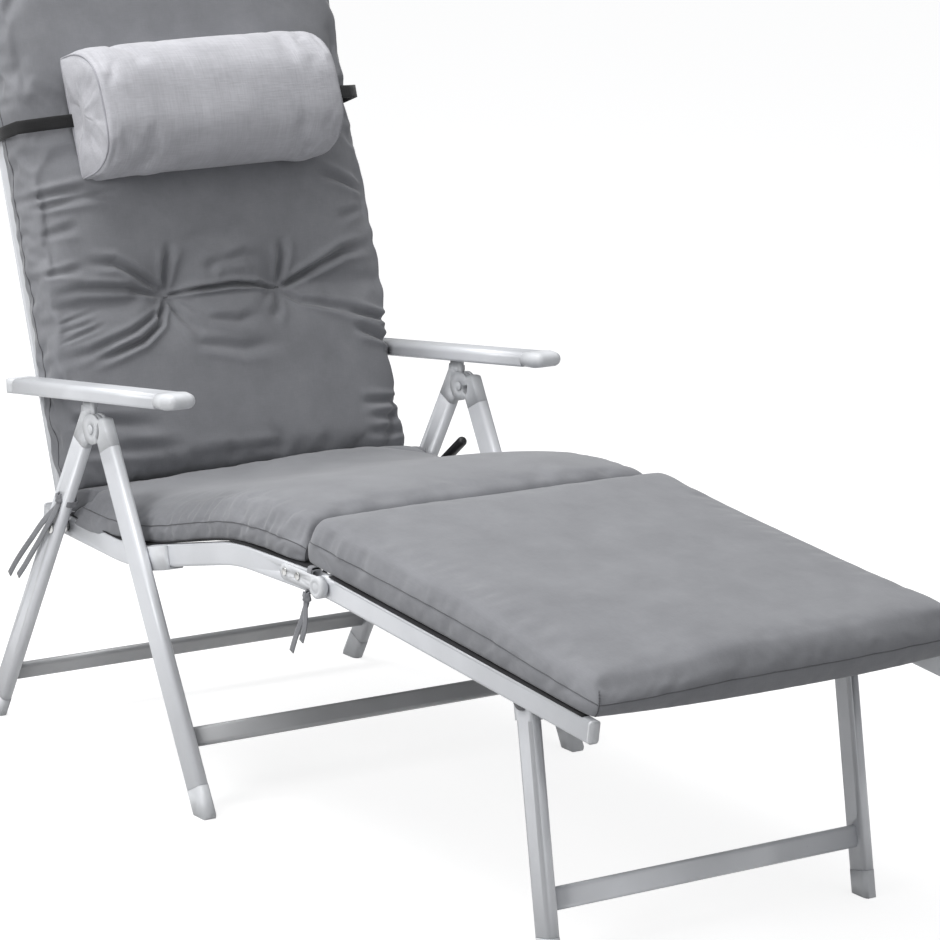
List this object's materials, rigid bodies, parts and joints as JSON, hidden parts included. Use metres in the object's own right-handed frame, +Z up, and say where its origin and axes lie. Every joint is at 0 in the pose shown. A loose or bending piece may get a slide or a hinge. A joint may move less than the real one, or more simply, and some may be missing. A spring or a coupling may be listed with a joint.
{
  "type": "sun lounger",
  "caption": "Folding sun lounger of silver-grey tube with a tufted grey cushion, a strapped neck pillow, racked arm rests and a leg rest on a fold-out stand",
  "frame": {"origin": "On the floor, below the middle of the outline", "axes": "+Z up; the occupant faces -Y, the back rest is towards +Y, the left arm rest is at +X"},
  "size_m": [0.6383, 1.4457, 1.0046],
  "materials": {
    "frame_paint": "satin silver-grey powder coat",
    "light_plastic": "light grey moulded fittings",
    "zinc_steel": "zinc-plated bolts and rivets",
    "dark_plastic": "dark grey moulded rack",
    "black_plastic": "black grip",
    "black_sling": "black woven sling",
    "pad_fabric": "mid-grey polyester cushion cover",
    "pillow_fabric": "light grey pillow cover",
    "black_elastic": "black elastic strap",
    "tie_tape": "grey tie tape"
  },
  "bodies": {
    "seat": {"seat_rail_left": "frame_paint", "seat_rail_right": "frame_paint", "seat_rail_plugs": "light_plastic", "seat_spreader": "frame_paint", "hinge_rod": "zinc_steel", "knee_plates": "light_plastic", "knee_knobs": "light_plastic", "knee_rivets": "zinc_steel", "seat_sling": "black_sling", "seat_pad": "pad_fabric", "lock_lever": "black_plastic", "knee_tie": "tie_tape", "knee_tie_tail_long": "tie_tape", "knee_tie_tail_short": "tie_tape"},
    "rear_legs": {"rear_leg_left": "frame_paint", "rear_leg_right": "frame_paint", "rear_crossbar": "frame_paint", "rear_feet": "light_plastic", "apex_hubs": "light_plastic", "apex_pins": "light_plastic", "leg_pivot_bolts": "zinc_steel", "rear_tie": "tie_tape", "rear_tie_tail_long": "tie_tape", "rear_tie_tail_short": "tie_tape"},
    "front_legs": {"front_leg_left": "frame_paint", "front_leg_right": "frame_paint", "front_crossbar": "frame_paint", "front_feet": "light_plastic", "apex_caps": "light_plastic", "saddles": "light_plastic"},
    "back": {"back_rail_left": "frame_paint", "back_rail_right": "frame_paint", "back_corners": "frame_paint", "back_top_tube": "frame_paint", "back_sling": "black_sling", "back_pad": "pad_fabric", "arm_pivot_bolts": "zinc_steel"},
    "arm_rest_left": {"arm_left": "frame_paint", "arm_front_cap_left": "light_plastic", "arm_rear_cap_left": "light_plastic", "arm_rack_left": "dark_plastic"},
    "arm_rest_right": {"arm_right": "frame_paint", "arm_front_cap_right": "light_plastic", "arm_rear_cap_right": "light_plastic", "arm_rack_right": "dark_plastic"},
    "leg_rest": {"leg_rail_left": "frame_paint", "leg_rail_right": "frame_paint", "leg_rail_caps": "light_plastic", "leg_spreaders": "frame_paint", "stand_brackets": "dark_plastic", "leg_sling": "black_sling", "leg_pad": "pad_fabric"},
    "stand": {"stand_leg_left": "frame_paint", "stand_leg_right": "frame_paint", "stand_crossbar": "frame_paint", "stand_feet": "light_plastic", "stand_pins": "zinc_steel"},
    "neck_pillow": {"pillow": "pillow_fabric", "pillow_strap": "black_elastic"}
  },
  "joints": [
    {"name": "leg_fold", "type": "hinge", "parent": "seat", "child": "rear_legs", "pos_m": [0, 0.40902, 0.29754], "axis": [1, 0, 0], "range_deg": [0, 64]},
    {"name": "front_leg_fold", "type": "hinge", "parent": "rear_legs", "child": "front_legs", "pos_m": [0, 0.31359, 0.452], "axis": [1, 0, 0], "range_deg": [0, 55.1]},
    {"name": "recline", "type": "hinge", "parent": "seat", "child": "back", "pos_m": [0, 0.44659, 0.3], "axis": [-1, 0, 0], "range_deg": [-10, 40]},
    {"name": "arm_left_swing", "type": "hinge", "parent": "back", "child": "arm_rest_left", "pos_m": [0, 0.51217, 0.47085], "axis": [1, 0, 0], "range_deg": [-6.7, 26.8]},
    {"name": "arm_right_swing", "type": "hinge", "parent": "back", "child": "arm_rest_right", "pos_m": [0, 0.51217, 0.47085], "axis": [1, 0, 0], "range_deg": [-6.7, 26.8]},
    {"name": "leg_rest_fold", "type": "hinge", "parent": "seat", "child": "leg_rest", "pos_m": [0, -0.18841, 0.357], "axis": [1, 0, 0], "range_deg": [0, 95]},
    {"name": "stand_fold", "type": "hinge", "parent": "leg_rest", "child": "stand", "pos_m": [0, -0.55641, 0.306], "axis": [1, 0, 0], "range_deg": [0, 105]},
    {"name": "pillow_slide", "type": "slide", "parent": "back", "child": "neck_pillow", "axis": [0, 0.3584, 0.9336], "range_m": [-0.12, 0.05]}
  ],
  "couplings": [
    {"joint": "front_leg_fold", "follows": "leg_fold", "ratio": 0.86},
    {"joint": "arm_left_swing", "follows": "recline", "ratio": 0.67},
    {"joint": "arm_right_swing", "follows": "recline", "ratio": 0.67}
  ]
}
